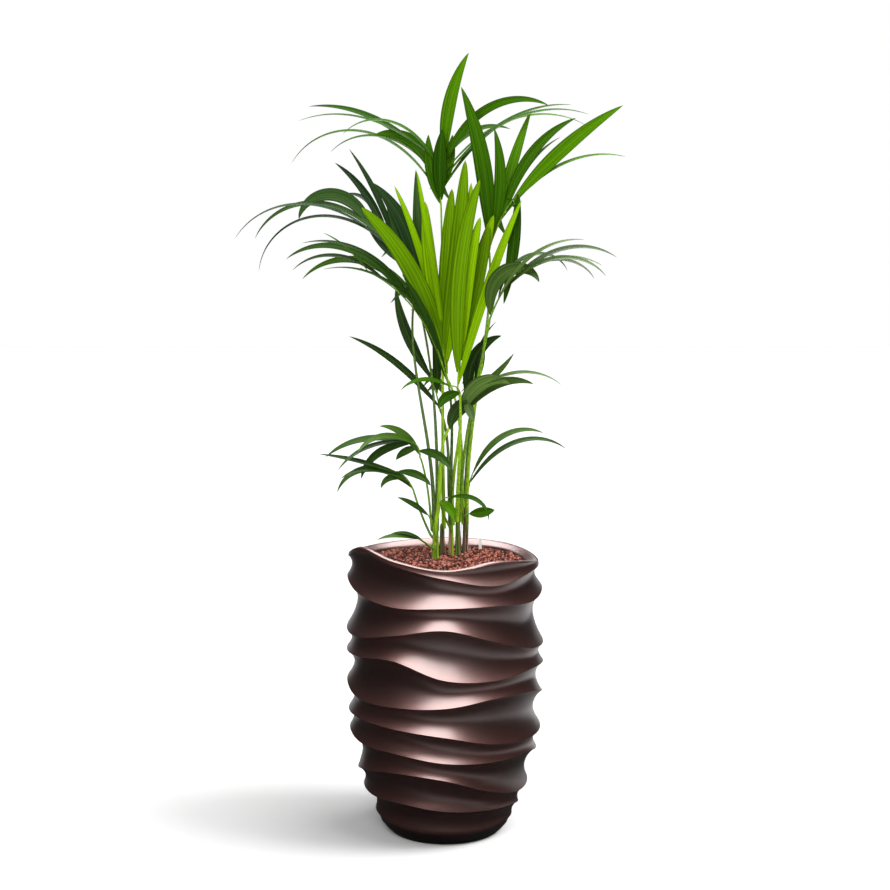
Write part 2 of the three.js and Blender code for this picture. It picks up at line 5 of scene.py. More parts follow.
import bpy
import numpy as np
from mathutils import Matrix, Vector


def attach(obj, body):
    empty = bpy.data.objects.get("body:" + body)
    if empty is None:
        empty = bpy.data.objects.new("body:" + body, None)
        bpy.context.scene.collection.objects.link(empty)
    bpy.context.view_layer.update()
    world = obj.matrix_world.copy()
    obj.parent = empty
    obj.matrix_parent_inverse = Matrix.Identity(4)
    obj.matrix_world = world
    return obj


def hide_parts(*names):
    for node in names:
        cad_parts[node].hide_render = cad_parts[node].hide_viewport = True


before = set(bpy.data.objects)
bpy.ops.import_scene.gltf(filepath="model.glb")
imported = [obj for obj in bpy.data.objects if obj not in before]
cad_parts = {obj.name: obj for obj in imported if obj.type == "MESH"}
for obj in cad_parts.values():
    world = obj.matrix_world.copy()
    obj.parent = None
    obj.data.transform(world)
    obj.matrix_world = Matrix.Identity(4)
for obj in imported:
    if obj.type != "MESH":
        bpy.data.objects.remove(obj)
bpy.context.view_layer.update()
bpy.ops.object.select_all(action="DESELECT")
MM = 0.001  # the planter's and the plants' lengths are in millimetres, the room's in metres


# ---- The room: a white floor and pale walls, a soft light from the right, a fill from the front
# and a long softbox overhead, which gives the lacquer its highlights. The camera stands three
# metres in front, a little above the middle of the plant.

CAMERA_AT = Vector((0, -2.916, 1.061))
CAMERA_LOOKS_AT = Vector((0, 0, 0.7755))
FOCAL_PIXELS, PICTURE_PIXELS, SENSOR_WIDTH = 1477, 890, 36

bpy.ops.object.camera_add(location=CAMERA_AT)
camera = bpy.context.object
camera.rotation_euler = (CAMERA_LOOKS_AT - CAMERA_AT).to_track_quat("-Z", "Y").to_euler()
camera.data.sensor_width = SENSOR_WIDTH
camera.data.lens = SENSOR_WIDTH * FOCAL_PIXELS / PICTURE_PIXELS
bpy.context.scene.camera = camera


def wire(tree, made, sockets):
    """Gives a node's sockets their values, or links them to the outputs of other nodes."""
    for name, value in sockets.items():
        if isinstance(value, bpy.types.NodeSocket):
            tree.links.new(value, made.inputs[name])
        else:
            made.inputs[name].default_value = value


def node(tree, kind, sockets=None, **settings):
    made = tree.nodes.new("ShaderNode" + kind)
    for name, setting in settings.items():
        setattr(made, name, setting)
    wire(tree, made, sockets or {})
    return made


def ranged(tree, value, lowest, highest, start=0.0, end=1.0):
    """A value carried over from start..end to lowest..highest, and held beyond both."""
    return node(tree, "MapRange", {
        "Value": value, "From Min": start, "From Max": end, "To Min": lowest, "To Max": highest,
    }).outputs["Result"]


def new_material(name, finish):
    """A named material with a plain shader to build on: (material, node tree, shader)."""
    material = bpy.data.materials.new(name)
    material.use_nodes = True
    tree = material.node_tree
    shader = tree.nodes["Principled BSDF"]
    wire(tree, shader, finish)
    return material, tree, shader


FLOOR_SIZE, FLOOR_BELOW = 60, 0.0005
FLOOR_PAINT = {"Base Color": (0.5, 0.5, 0.5, 1), "Roughness": 0.9, "Specular IOR Level": 0.0}
bpy.ops.mesh.primitive_plane_add(size=FLOOR_SIZE, location=(0, 0, -FLOOR_BELOW))
floor = bpy.context.object
floor.name = "floor"
floor.visible_glossy = False
floor.data.materials.append(new_material("floor_paint", FLOOR_PAINT)[0])

# The part of the floor that a gloss shows: it lies to the right, and carries a painted shadow, its
# paint darkened close to the pot.
SHEEN_AT, SHEEN_SIZE = (1.1, -0.3, -0.0004), (2.9, 3.8, 1)
bpy.ops.mesh.primitive_plane_add(size=1, location=SHEEN_AT)
sheen = bpy.context.object
sheen.name = "floor_in_gloss"
sheen.scale = SHEEN_SIZE
bpy.ops.object.transform_apply(location=True, rotation=True, scale=True)
sheen.visible_camera = sheen.visible_diffuse = sheen.visible_shadow = False
sheen_paint_with_painted_shadow, tree, shader = new_material("floor_paint_in_gloss_with_painted_shadow", FLOOR_PAINT)
spot = node(tree, "TexCoord").outputs["Object"]
reach = node(tree, "VectorMath", {0: spot}, operation="LENGTH").outputs["Value"]
# Painted shadow: the paint is darkest near the pot's axis and pales out to a metre away.
wire(tree, shader, {"Base Color": ranged(tree, reach, 0.03, 0.6, start=0.34, end=1.0)})
sheen.data.materials.append(sheen_paint_with_painted_shadow)

# The walls light the pieces evenly. A gloss shows them dark in front and at the sides and pale
# behind, and the camera sees them white.
WALLS_LIGHT, WALLS_DARK, WALLS_PALE, WALLS_WHITE = 0.62, 0.03, 0.8, 1.0
world = bpy.data.worlds.new("studio")
bpy.context.scene.world = world
world.use_nodes = True
tree = world.node_tree
rays = node(tree, "LightPath").outputs
way = node(tree, "SeparateXYZ", {"Vector": node(tree, "TexCoord").outputs["Generated"]})
in_gloss = ranged(tree, way.outputs["Y"], WALLS_DARK, WALLS_PALE, start=0.8, end=1.0)
on_pieces = ranged(tree, rays["Is Glossy Ray"], WALLS_LIGHT, in_gloss)
in_view = ranged(tree, rays["Is Camera Ray"], on_pieces, WALLS_WHITE)
wire(tree, tree.nodes["Background"], {"Color": (1, 1, 1, 1), "Strength": in_view})
bpy.context.scene.view_settings.view_transform = "Standard"


def softbox(name, place, looks_at, width, length, power):
    bpy.ops.object.light_add(type="AREA", location=place)
    lamp = bpy.context.object
    lamp.name = name
    lamp.rotation_euler = (Vector(looks_at) - Vector(place)).to_track_quat("-Z", "Y").to_euler()
    lamp.data.shape = "RECTANGLE"
    lamp.data.size = width
    lamp.data.size_y = length
    lamp.data.energy = power
    return lamp


def side_light(name, shines, strength, spread):
    bpy.ops.object.light_add(type="SUN")
    lamp = bpy.context.object
    lamp.name = name
    lamp.rotation_euler = Vector(shines).to_track_quat("-Z", "Y").to_euler()
    lamp.data.energy = strength
    lamp.data.angle = math.radians(spread)
    lamp.visible_glossy = False
    return lamp


overhead = softbox(
    "softbox_overhead", (-0.05, -1.4, 2.7), looks_at=(-0.05, -1.399, 0),
    width=2.7, length=6.4, power=640,
)
overhead.visible_diffuse = False
fill = softbox(
    "softbox_front", (-0.7, -2.2, 2.2), looks_at=(0, 0, 0.9), width=1.5, length=1.5, power=62,
)
fill.visible_glossy = False
side_light("side_light", shines=(-1.6, 0.27, -1.8), strength=2.9, spread=24)

# A second side light falls on the floor alone. It is so wide that the pot's shadow is dark at its
# foot and fades within half a metre.
floor_light = side_light(
    "side_light_of_floor", shines=(-1.3, 0.02, -2.0), strength=4.2, spread=64,
)
floor_alone = bpy.data.collections.new("floor_alone")
floor_alone.objects.link(floor)
floor_light.light_linking.receiver_collection = floor_alone


# ---- The planter: a tall vase cast in resin, its wall thrown into horizontal folds and lacquered
# a metallic coffee brown. Its broad lip slopes inwards, and the inside is lacquered as well.

COLUMNS, STEPS_PER_FOLD, STEPS_GATHER = 256, 14, 1.25  # the steps gather under the upper crest
FOLD_DEPTH, FOLD_FROM, FOLD_SPAN, FOLD_OPENS = 22, 6, 50, 1.4
DEEPEST, TURNS_IN, TURNS_OUT = 0.45, 0.75, 1.7  # where a fold is deepest, and how it turns there
SWAY, SWAY_FROM, BED_EDGE = -4, 490, 546
FOOT_RADIUS, FOOT_PAINTED_SHADE, FOOT_SHADE_FADES = 113, 2, 0.8  # painted shade: the foot is darker than any fold
FOOT_ROUNDING = [(-3, 0), (-0.5, 0.6), (2, 3)]  # outwards and upwards from the foot's edge
FOOT_SWELL = [(0.3, 0.372), (0.5, 0.62), (0.75, 0.75)]  # shares up and out to the lowest crest
CREST_RADIUS = (  # heights, and the radius of a crest there
    [0, 40, 90, 140, 210, 310, 420, 520, 600],
    [118, 141, 164, 179, 192, 197, 197, 193, 184],
)
INSIDE = ([25, 60, 110, 200, 520], [96, 118, 138, 155, 158])
INSIDE_HEIGHTS = (520, 460, 330, 200, 110, 60, 25)
STATIONS = [-90, -60, -30, 0, 30, 60, 90, 135, 180, 225]  # degrees round from the front
CRESTS = [  # the height of every crest at each station, from the rim down
    [560, 585, 569, 556, 567, 558, 546, 557, 559, 556],
    [554, 579, 561, 541, 524, 536, 540, 550, 553, 550],
    [517, 496, 483, 486, 486, 480, 493, 505, 498, 512],
    [413, 411, 429, 444, 417, 389, 384, 400, 430, 432],
    [369, 372, 380, 349, 343, 349, 343, 340, 365, 378],
    [307, 289, 290, 295, 308, 303, 281, 275, 292, 312],
    [247, 249, 247, 238, 218, 210, 211, 222, 238, 250],
    [209, 199, 198, 186, 181, 180, 166, 170, 190, 205],
    [127, 143, 157, 150, 119, 99, 99, 112, 130, 128],
    [91, 89, 92, 83, 77, 70, 55, 62, 78, 88],
    [39, 37, 32, 31, 30, 33, 30, 32, 34, 38],
]
LIP = [  # the lip's rounding, inwards and upwards from the rim
    (0.8, -2.6), (2.0, -0.6), (3.8, 1.0), (6.2, 1.8), (8.8, 1.3), (11.5, -0.2),
    (15.0, -2.6), (18.5, -5.0), (21.0, -6.8), (23.0, -9.5), (24.5, -14.0),
]


def around(values, degrees):
    """Smooth and closed round the pot, through one value at each station."""
    count = len(STATIONS)
    station = lambda i: STATIONS[i % count] + 360 * (i // count)
    value = lambda i: values[i % count]
    slope = lambda i: (value(i + 1) - value(i - 1)) / (station(i + 1) - station(i - 1))
    turned = STATIONS[0] + (degrees - STATIONS[0]) % 360
    i = 0
    while station(i + 1) <= turned:
        i += 1
    span = station(i + 1) - station(i)
    t = (turned - station(i)) / span
    near = 2 * t**3 - 3 * t**2 + 1
    bend = (t**3 - 2 * t**2 + t) * slope(i) + (t**3 - t**2) * slope(i + 1)
    return near * value(i) + (1 - near) * value(i + 1) + span * bend


def pressed_in(share):
    """How far a fold is pressed in, from its upper crest (0) to its lower one (1)."""
    if share < DEEPEST:
        return math.sin((math.pi / 2) * (share / DEEPEST) ** TURNS_IN)
    return 1 - ((share - DEEPEST) / (1 - DEEPEST)) ** TURNS_OUT


def smoothstep(x, low, high):
    t = min(max((x - low) / (high - low), 0), 1)
    return t * t * (3 - 2 * t)


def wall_section(degrees):
    """(radius, height, share of painted shade) from the foot up the outside, over the lip and down
    inside.
    """
    crests = [around(heights, degrees) for heights in CRESTS]
    crest_radius = lambda height: float(np.interp(height, *CREST_RADIUS))
    section = [(FOOT_RADIUS + out, up, FOOT_PAINTED_SHADE) for out, up in FOOT_ROUNDING]
    swell = crest_radius(crests[-1]) - FOOT_RADIUS
    for up, out in FOOT_SWELL:
        shade_share = FOOT_PAINTED_SHADE - FOOT_SHADE_FADES * up
        section.append((FOOT_RADIUS + swell * out, crests[-1] * up, shade_share))
    for high, low in reversed(list(zip(crests, crests[1:]))):
        opened = max(high - low - FOLD_FROM, 0) / FOLD_SPAN
        depth = FOLD_DEPTH * (1 - math.exp(-(opened**FOLD_OPENS)))
        for step in range(STEPS_PER_FOLD, 0, -1):
            share = (step / STEPS_PER_FOLD) ** STEPS_GATHER
            height = high - (high - low) * share
            pressed = depth * pressed_in(share)
            section.append((crest_radius(height) - pressed, height, pressed / FOLD_DEPTH))
    rim = crests[0]
    section += [(crest_radius(rim) - inwards, rim + up, 0) for inwards, up in LIP]
    sway = SWAY * math.sin(math.radians(degrees))
    section = [
        (radius + sway * smoothstep(height, SWAY_FROM, BED_EDGE), height, shade_share)
        for radius, height, shade_share in section
    ]
    return section + [(float(np.interp(up, *INSIDE)), up, 1) for up in INSIDE_HEIGHTS]


def placed(x, y, radius, turn, height):
    """The places at a radius round (x, y), at a turn in radians from the front."""
    across, back = x + radius * np.sin(turn), y - radius * np.cos(turn)
    return np.stack(np.broadcast_arrays(across, back, height), axis=-1)


def full_turn(steps):
    return 2 * np.pi * np.arange(steps) / steps


def rolled(name, around_steps, along_steps, places):
    """A grid rolled up to rows of places (mm), each row once round. Its seam is still open."""
    bpy.ops.mesh.primitive_grid_add(x_subdivisions=around_steps, y_subdivisions=along_steps)
    tube = bpy.context.object
    tube.name = tube.data.name = name
    rows = np.concatenate([places, places[:, :1]], axis=1)
    tube.data.vertices.foreach_set("co", (rows.reshape(-1, 3) * MM).astype(np.float32).ravel())
    return tube


def close_up(tube):
    """Welds the seam of a rolled tube, fills its two ends and turns its faces outwards."""
    bpy.ops.object.select_all(action="DESELECT")
    tube.select_set(True)
    bpy.context.view_layer.objects.active = tube
    bpy.ops.object.mode_set(mode="EDIT")
    bpy.ops.mesh.select_all(action="SELECT")
    bpy.ops.mesh.remove_doubles(threshold=1e-6)
    bpy.ops.mesh.select_all(action="DESELECT")
    bpy.ops.mesh.select_non_manifold()
    bpy.ops.mesh.fill_holes(sides=0)
    bpy.ops.mesh.select_all(action="SELECT")
    bpy.ops.mesh.normals_make_consistent(inside=False)
    bpy.ops.object.mode_set(mode="OBJECT")
    tube.select_set(False)


def smooth(piece, edge_degrees):
    """Shades a piece smooth, apart from edges that are sharper than some degrees."""
    bpy.ops.object.select_all(action="DESELECT")
    piece.select_set(True)
    bpy.context.view_layer.objects.active = piece
    bpy.ops.object.shade_smooth_by_angle(angle=math.radians(edge_degrees))
    piece.select_set(False)


sections = np.array([wall_section(360 * i / COLUMNS) for i in range(COLUMNS)])
radii, heights, shade_share = sections.transpose(2, 1, 0)
wall = placed(0, 0, radii, full_turn(COLUMNS), heights)
planter = rolled("planter_wall", COLUMNS, len(wall) - 1, wall)
# Each point's share of painted shade: how deep its fold is pressed in, none on the lip, more inside
# and most at the foot.
painted_shade = planter.data.attributes.new("painted_shade", "FLOAT", "POINT")
shade_shares = np.concatenate([shade_share, shade_share[:, :1]], axis=1)
painted_shade.data.foreach_set("value", shade_shares.astype(np.float32).ravel())
close_up(planter)
smooth(planter, 60)


def mean_of(tree, first, second):
    both = node(tree, "Math", {0: first, 1: second}, operation="ADD").outputs["Value"]
    return node(tree, "Math", {0: both, 1: 0.5}, operation="MULTIPLY").outputs["Value"]


def dyed(tree, value, stops):
    """The colour of a value, between (position, colour) stops in rising order."""
    ramp = node(tree, "ValToRGB", {"Fac": value})
    dyes = ramp.color_ramp.elements
    dyes.remove(dyes[1])
    for i, (position, color) in enumerate(stops):
        dye = dyes[0] if i == 0 else dyes.new(position)
        dye.position, dye.color = position, (*color, 1)
    return ramp.outputs["Color"]


def embossed(tree, height, strength, depth):
    """A bump from a height between 0 and 1: its strength, and its full depth in metres."""
    sockets = {"Height": height, "Strength": strength, "Distance": depth}
    return node(tree, "Bump", sockets).outputs["Normal"]


# Painted shade: the lacquer's colour is darker and less red deep in the folds than on the crests,
# as dark inside the pot as in the deepest folds, and darkest at the foot, where shade falls.
lacquer_with_painted_shade, tree, shader = new_material("coffee_lacquer_with_painted_shade", {
    "Metallic": 0.8, "Coat Weight": 1.0, "Coat Roughness": 0.3, "Coat IOR": 1.6,
})
place = node(tree, "TexCoord").outputs["Object"]
cloudy = {"Vector": place, "Scale": 38, "Detail": 6, "Roughness": 0.65}
clouds = node(tree, "TexNoise", cloudy).outputs["Fac"]
hollow_shade = node(tree, "Attribute", attribute_name="painted_shade").outputs["Fac"]
# The tone mixes this painted shade with random clouds in the lacquer.
tone = mean_of(tree, hollow_shade, ranged(tree, clouds, -0.22, 0.22))
grain = node(tree, "TexNoise", {"Vector": place, "Scale": 420, "Detail": 3}).outputs["Fac"]
wire(tree, shader, {
    "Base Color": dyed(tree, tone, [
        (0, (0.082, 0.027, 0.021)), (0.5, (0.028, 0.010, 0.008)), (1, (0.006, 0.0025, 0.0025))]),
    "Roughness": ranged(tree, clouds, 0.36, 0.48),
    "Normal": embossed(tree, grain, 0.12, 0.0006),
})
planter.data.materials.append(lacquer_with_painted_shade)
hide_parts("planter")
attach(planter, "root")


# ---- The filling: red-brown baked clay granules, heaped slightly towards the middle. The top
# layer lies loose, in three tints of clay. Under it the pot is full, so the rest is one body.

BED_TOP, BED_FLAT, BED_RADIUS, BED_SIDES = 552, 110, 157, 64
BED_ROWS = [  # radius and height of each ring of the body, from the bottom up
    (110, 60), (137, 110), (154, 200), (BED_RADIUS, 520), (BED_RADIUS, BED_EDGE - 3),
    (140, BED_EDGE), (BED_FLAT, BED_TOP - 3), (60, BED_TOP - 2),
]
PEBBLES, PEBBLE_FIELD, GOLDEN_TURN = 2000, 153, math.pi * (3 - math.sqrt(5))
PEBBLE_LEAST, PEBBLE_MOST, PEBBLE_SUNK, PEBBLE_PILED = 4.2, 6.8, 2.0, 3.0
STANDING = [  # x, y and half the breadth of what stands in the bed, where no pebble lies
    (-19, -24, 8), (-6, 34, 7), (12, 12, 7), (26, 16, 7), (41, 48, 7), (42, 84, 7), (72, 74, 3.5),
]
rng = np.random.default_rng(7)


def bed_height(radius):
    share = np.clip((radius - BED_FLAT) / (BED_RADIUS - BED_FLAT), 0, 1)
    return BED_TOP - (BED_TOP - BED_EDGE) * share


bed_places = np.array([placed(0, 0, radius, full_turn(BED_SIDES), up) for radius, up in BED_ROWS])
bed = rolled("granule_bed", BED_SIDES, len(BED_ROWS) - 1, bed_places)
close_up(bed)

bpy.ops.mesh.primitive_ico_sphere_add(subdivisions=1, radius=1)
seed_pebble = bpy.context.object
stone = np.array([v.co for v in seed_pebble.data.vertices])
stone_faces = np.array([f.vertices for f in seed_pebble.data.polygons])
bpy.data.objects.remove(seed_pebble)


def tumbled(points, angles):
    """Points turned by three angles, about X, then Y, then Z."""
    (a, b, c) = angles
    rx = np.array([[1, 0, 0], [0, math.cos(a), -math.sin(a)], [0, math.sin(a), math.cos(a)]])
    ry = np.array([[math.cos(b), 0, math.sin(b)], [0, 1, 0], [-math.sin(b), 0, math.cos(b)]])
    rz = np.array([[math.cos(c), -math.sin(c), 0], [math.sin(c), math.cos(c), 0], [0, 0, 1]])
    return points @ (rz @ ry @ rx).T


def joined(name, parts, tints_and_painted_light=None):
    """One mesh from (points in mm, faces) parts, each part with its own material number."""
    mesh = bpy.data.meshes.new(name)
    offsets = np.cumsum([0] + [len(points) for points, _ in parts[:-1]])
    faces = np.concatenate([faces + offset for (_, faces), offset in zip(parts, offsets)])
    mesh.from_pydata(np.concatenate([points for points, _ in parts]) * MM, [], faces.tolist())
    if tints_and_painted_light is not None:
        numbers = np.repeat(tints_and_painted_light, [len(faces) for _, faces in parts])
        mesh.polygons.foreach_set("material_index", numbers.astype(np.int32))
    made = bpy.data.objects.new(name, mesh)
    bpy.context.scene.collection.objects.link(made)
    return made


pebble_parts = []
for i in range(PEBBLES):
    radius = PEBBLE_FIELD * math.sqrt((i + 0.5) / PEBBLES)
    angle = i * GOLDEN_TURN + rng.uniform(-0.05, 0.05)
    size = PEBBLE_LEAST + (PEBBLE_MOST - PEBBLE_LEAST) * rng.random() ** 1.6
    shape = stone * (size / 2) * rng.uniform(0.85, 1.15, 3)
    shape *= rng.uniform(0.92, 1.08, (len(stone), 1))
    lies_at = bed_height(radius) - PEBBLE_SUNK + rng.uniform(0, PEBBLE_PILED)
    spot = placed(0, 0, radius, angle, lies_at)
    if any(math.hypot(spot[0] - x, spot[1] - y) < breadth for x, y, breadth in STANDING):
        continue
    pebble_parts.append((tumbled(shape, rng.uniform(0, 2 * math.pi, 3)) + spot, stone_faces))
pebbles = joined("pebbles", pebble_parts, rng.integers(0, 3, len(pebble_parts)))
for name, color in (
    ("baked_clay", (0.17, 0.038, 0.022)),
    ("pale_clay", (0.38, 0.130, 0.090)),
    ("dark_clay_and_gap_shade", (0.030, 0.008, 0.005)),
):
    clay, tree, shader = new_material(name, {"Roughness": 0.85, "Specular IOR Level": 0.15})
    place = node(tree, "TexCoord").outputs["Object"]
    dust = node(tree, "TexNoise", {"Vector": place, "Scale": 260, "Detail": 4}).outputs["Fac"]
    dark, pale = ([share * c for c in color] for share in (0.6, 1.35))
    wire(tree, shader, {
        "Base Color": dyed(tree, dust, [(0.3, dark), (0.7, pale)]),
        "Normal": embossed(tree, dust, 0.5, 0.0008),
    })
    pebbles.data.materials.append(clay)
    # The body under the pebbles takes the darkest clay as painted shade in the gaps between them;
    # on a third of the pebbles it is their own dark tint.
    if name == "dark_clay_and_gap_shade":
        bed.data.materials.append(clay)
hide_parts("granules")
for piece in (bed, pebbles):
    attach(piece, "root")


# ---- The water gauge: a flat white plastic stick with a rounded end and a shallow slot down its
# face, pushed into the granules behind the stems.

GAUGE_X, GAUGE_Y, GAUGE_WIDTH, GAUGE_DEPTH, GAUGE_HEIGHT = 72, 74, 6, 3, 25
SLOT_MARGIN, SLOT_DEPTH, GAUGE_ROUNDING = 1.9, 0.7, 0.4
STEM_FOOT = BED_TOP + 0.3  # the height at which the gauge and the stems start
round_end = STEM_FOOT + GAUGE_HEIGHT - GAUGE_WIDTH / 2
bpy.ops.mesh.primitive_cylinder_add(
    vertices=48, radius=GAUGE_WIDTH / 2 * MM, depth=GAUGE_DEPTH * MM, rotation=(math.pi / 2, 0, 0),
    location=(GAUGE_X * MM, (GAUGE_Y - GAUGE_DEPTH / 2) * MM, round_end * MM),
)
gauge = bpy.context.object
gauge.name = gauge.data.name = "gauge_stick"
bpy.ops.object.transform_apply(location=True, rotation=True, scale=True)
for vertex in gauge.data.vertices:
    if vertex.co.z < round_end * MM + 1e-6:
        vertex.co.z = STEM_FOOT * MM
bpy.ops.object.mode_set(mode="EDIT")
bpy.ops.mesh.select_all(action="DESELECT")
bpy.ops.object.mode_set(mode="OBJECT")
for face in gauge.data.polygons:
    face.select = face.normal.y < -0.9
bpy.ops.object.mode_set(mode="EDIT")
bpy.ops.mesh.select_mode(type="FACE")
bpy.ops.mesh.inset(thickness=SLOT_MARGIN * MM)
bpy.ops.mesh.extrude_region_move(TRANSFORM_OT_translate={"value": (0, SLOT_DEPTH * MM, 0)})
bpy.ops.mesh.select_mode(type="VERT")
bpy.ops.object.mode_set(mode="OBJECT")
bpy.ops.object.modifier_add(type="BEVEL")
gauge.modifiers["Bevel"].width = GAUGE_ROUNDING * MM
gauge.modifiers["Bevel"].segments = 3
bpy.ops.object.modifier_apply(modifier="Bevel")
white, tree, shader = new_material("white_plastic", {"Base Color": (0.83, 0.82, 0.78, 1)})
place = node(tree, "TexCoord").outputs["Object"]
scuffs = node(tree, "TexNoise", {"Vector": place, "Scale": 300}).outputs["Fac"]
wire(tree, shader, {"Roughness": ranged(tree, scuffs, 0.3, 0.55)})
gauge.data.materials.append(white)
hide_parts("water_gauge")
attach(gauge, "root")


# ---- The stems: short green canes that stand in the granules, each wrapped in the sheaths of its
# leaf stalks, with a scar where each one has dropped. The oldest sheaths have dried to brown paper
# and stand away a little.

STEM_FLARE, STEM_RING, STEM_STEPS, STEM_SIDES = 1.15, 3.4, 44, 28
STEM_CROWN, CROWN_ROUND, STEM_TAPER, BROAD_LAP, FINE_LAP = 9, 0.93, 0.16, 0.07, 0.03
SCAR_EVERY, SCAR_AT, SCAR_HALF, SCAR_STANDS = 17, 8, 1.3, 0.05
STEMS = {  # x, y, height, radius
    "left": (-19, -24, 66, 6.6),
    "inner": (-6, 34, 62, 5.4),
    "front": (12, 12, 72, 5.4),
    "middle": (26, 16, 78, 5.4),
    "right": (41, 48, 70, 5.4),
    "far": (42, 84, 60, 5.4),
}
FRESH_STEMS = ("left", "front")


def stem_reach(height, radius, z):
    """A stem's radius at a height above its foot, where it flares."""
    swell = np.interp(z, [0, 8, height / 2, height], [1, 0.4, 0.2, 0])
    return radius * (1 + (STEM_FLARE - 1) * swell)


def streaked(name, colors, roughness, across, along):
    """A skin with lengthwise streaks of four colours, from the darkest to the palest."""
    skin, tree, shader = new_material(name, {"Roughness": roughness, "Specular IOR Level": 0.2})
    place = node(tree, "TexCoord").outputs["Object"]
    stretch = node(tree, "Mapping", {"Vector": place, "Scale": (across, across, along)})
    fine = {"Vector": stretch.outputs["Vector"], "Scale": 1, "Detail": 3}
    streaks = node(tree, "TexNoise", fine).outputs["Fac"]
    wire(tree, shader, {
        "Base Color": dyed(tree, streaks, list(zip((0.36, 0.47, 0.56, 0.68), colors))),
        "Normal": embossed(tree, streaks, 0.25, 0.0004),
    })
    return skin


fresh_sheath = streaked("sheath_fresh", [
    (0.03, 0.07, 0.004), (0.10, 0.20, 0.004), (0.20, 0.33, 0.004), (0.30, 0.42, 0.02)],
    roughness=0.5, across=330, along=7)
old_sheath = streaked("sheath_old", [
    (0.018, 0.022, 0.006), (0.035, 0.075, 0.006), (0.10, 0.18, 0.008), (0.17, 0.11, 0.06)],
    roughness=0.6, across=330, along=7)
dry_sheath = streaked("sheath_dry", [
    (0.06, 0.025, 0.018), (0.16, 0.075, 0.05), (0.30, 0.17, 0.13), (0.42, 0.28, 0.23)],
    roughness=0.85, across=500, along=9)

for name, (x, y, height, radius) in STEMS.items():
    phase = rng.uniform(0, 2 * math.pi)
    turns = full_turn(STEM_SIDES)
    rows = []
    for z in np.linspace(0, height, STEM_STEPS + 1):
        laps = BROAD_LAP * np.cos(3 * turns + phase + z / 22) + FINE_LAP * np.cos(7 * turns - z / 9)
        scar = SCAR_STANDS * math.exp(-(((z % SCAR_EVERY) - SCAR_AT) / SCAR_HALF) ** 2)
        crown = math.sqrt(1 - CROWN_ROUND * max(0, 1 - (height - z) / STEM_CROWN) ** 2)
        thinned = crown * (1 - STEM_TAPER * z / height)
        reach = stem_reach(height, radius, z) * (0.97 + laps + scar) * thinned
        rows.append(placed(x, y, reach, turns, STEM_FOOT + z))
    stem = rolled("stem_sheaths_" + name, STEM_SIDES, STEM_STEPS, np.array(rows))
    close_up(stem)
    smooth(stem, 50)
    stem.data.materials.append(fresh_sheath if name in FRESH_STEMS else old_sheath)
    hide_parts("stem_" + name)
    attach(stem, "root")

# Each dry sheath is a curled strip of paper, ragged at the top, that stands off as it rises.
DRY_STEPS, DRY_SPANS, DRY_THICKNESS, DRY_RAGGED = 24, 6, 0.35, 1.8
DRY_HALF, DRY_NARROWS, DRY_WAVY, DRY_OFF, DRY_LEANS = 0.45, 0.75, 0.12, 0.5, 1.6
DRY_SHEATHS = {  # on each stem: degrees round from the front, top and length
    "inner": [(20, 50, 50)],
    "front": [(-25, 84, 84)],
    "middle": [(75, 66, 66)],
    "right": [(-10, 92, 92), (60, 60, 60)],
}
row, count = DRY_SPANS + 1, (DRY_SPANS + 1) * (DRY_STEPS + 1)
dry_faces = []
for i in range(DRY_STEPS):
    for k in range(DRY_SPANS):
        a, b = i * row + k, i * row + k + 1
        dry_faces += [(a, b, b + row, a + row)]
        dry_faces += [(a + count + row, a + count, b + count, b + count + row)]
edge = [
    *range(row), *range(2 * row - 1, count, row),
    *range(count - 2, count - row - 1, -1), *range(count - 2 * row, row - 1, -row),
]
dry_faces += [(a, a + count, b + count, b) for a, b in zip(edge, [*edge[1:], edge[0]])]
flake_parts = []
for name, sheaths in DRY_SHEATHS.items():
    x, y, height, radius = STEMS[name]
    for turned_by, top, length in sheaths:
        spots = []
        for i in range(DRY_STEPS + 1):
            along = i / DRY_STEPS
            up = top - length * (1 - along)
            half = DRY_HALF * (1 - DRY_NARROWS * along**3) * (1 + DRY_WAVY * math.sin(i * 1.9))
            off = stem_reach(height, radius, min(up, height)) + DRY_OFF + DRY_LEANS * along**2
            for k in range(DRY_SPANS + 1):
                angle = math.radians(turned_by) + half * (2 * k / DRY_SPANS - 1)
                ragged = DRY_RAGGED * math.sin(2.3 * k + turned_by) if i == DRY_STEPS else 0
                spots.append(placed(x, y, off, angle, STEM_FOOT + up + ragged))
        outer = np.array(spots)
        outwards = (outer - (x, y, 0)) * (1, 1, 0)
        outwards /= np.linalg.norm(outwards, axis=1)[:, None]
        inner = outer - DRY_THICKNESS * outwards
        flake_parts.append((np.concatenate([outer, inner]), np.array(dry_faces)))
flakes = joined("dry_sheaths", flake_parts)
flakes.data.materials.append(dry_sheath)
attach(flakes, "root")


# ---- The stalks: long petioles, round below with a shallow channel along the face. Each widens at
# its foot, where it clasps the stem, and thins towards its frond.

STALK_FOOT, STALK_TIP, STALK_PULLS, STALK_TURN, CLEARANCE = 2.6, 1.8, (0.4, 0.3), 4, 0.3
STALK_STEPS, FINE_STALK_STEPS, LONG_STALK, STALK_SIDES = 10, 44, 200, 14
SWOLLEN, SWOLLEN_FOR, ROOTED, ROOTED_AT_SIDE = 0.8, 250, 12, 10
